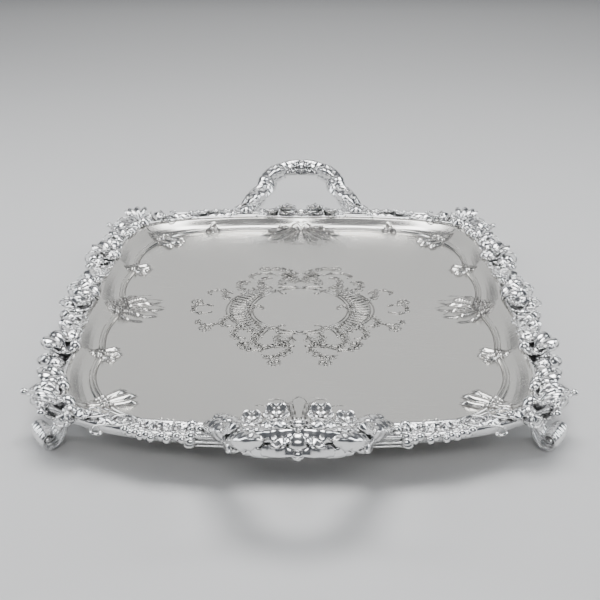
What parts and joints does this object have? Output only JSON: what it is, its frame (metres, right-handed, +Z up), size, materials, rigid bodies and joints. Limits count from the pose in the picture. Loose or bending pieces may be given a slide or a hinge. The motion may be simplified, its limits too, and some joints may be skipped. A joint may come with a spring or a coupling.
{
  "type": "serving tray",
  "caption": "Shaped rectangular two-handled silver serving tray with a raised chased shoulder, a cast border of shells, scrolls and flowers, loop handles and cast scroll feet.",
  "frame": {"origin": "middle of the resting plane under the tray, at the soles of the feet", "axes": "+Y along the tray from one handle to the other, +X across it to the right, +Z up"},
  "size_m": [0.5278, 0.774, 0.091],
  "materials": {
    "satin_ground": "polished silver sheet with fine wear scratches",
    "cast_silver": "bright cast silver, darker in the recesses"
  },
  "bodies": {
    "root": {"tray_plate": "satin_ground", "corner_front_left": "cast_silver", "corner_front_right": "cast_silver", "corner_back_left": "cast_silver", "corner_back_right": "cast_silver", "side_shell_left": "cast_silver", "side_shell_right": "cast_silver", "side_scroll_front_left": "cast_silver", "side_scroll_front_right": "cast_silver", "side_scroll_back_left": "cast_silver", "side_scroll_back_right": "cast_silver", "side_flower_front_left": "cast_silver", "side_flower_front_right": "cast_silver", "side_flower_back_left": "cast_silver", "side_flower_back_right": "cast_silver", "end_scroll_front_left": "cast_silver", "end_scroll_front_right": "cast_silver", "end_scroll_back_left": "cast_silver", "end_scroll_back_right": "cast_silver", "end_flower_front_left": "cast_silver", "end_flower_front_right": "cast_silver", "end_flower_back_left": "cast_silver", "end_flower_back_right": "cast_silver", "collar_front_left": "cast_silver", "collar_front_right": "cast_silver", "collar_back_left": "cast_silver", "collar_back_right": "cast_silver", "end_shell_front": "cast_silver", "end_shell_back": "cast_silver", "handle_front": "cast_silver", "handle_back": "cast_silver", "foot_front_left": "cast_silver", "foot_front_right": "cast_silver", "foot_back_left": "cast_silver", "foot_back_right": "cast_silver"}
  },
  "joints": []
}
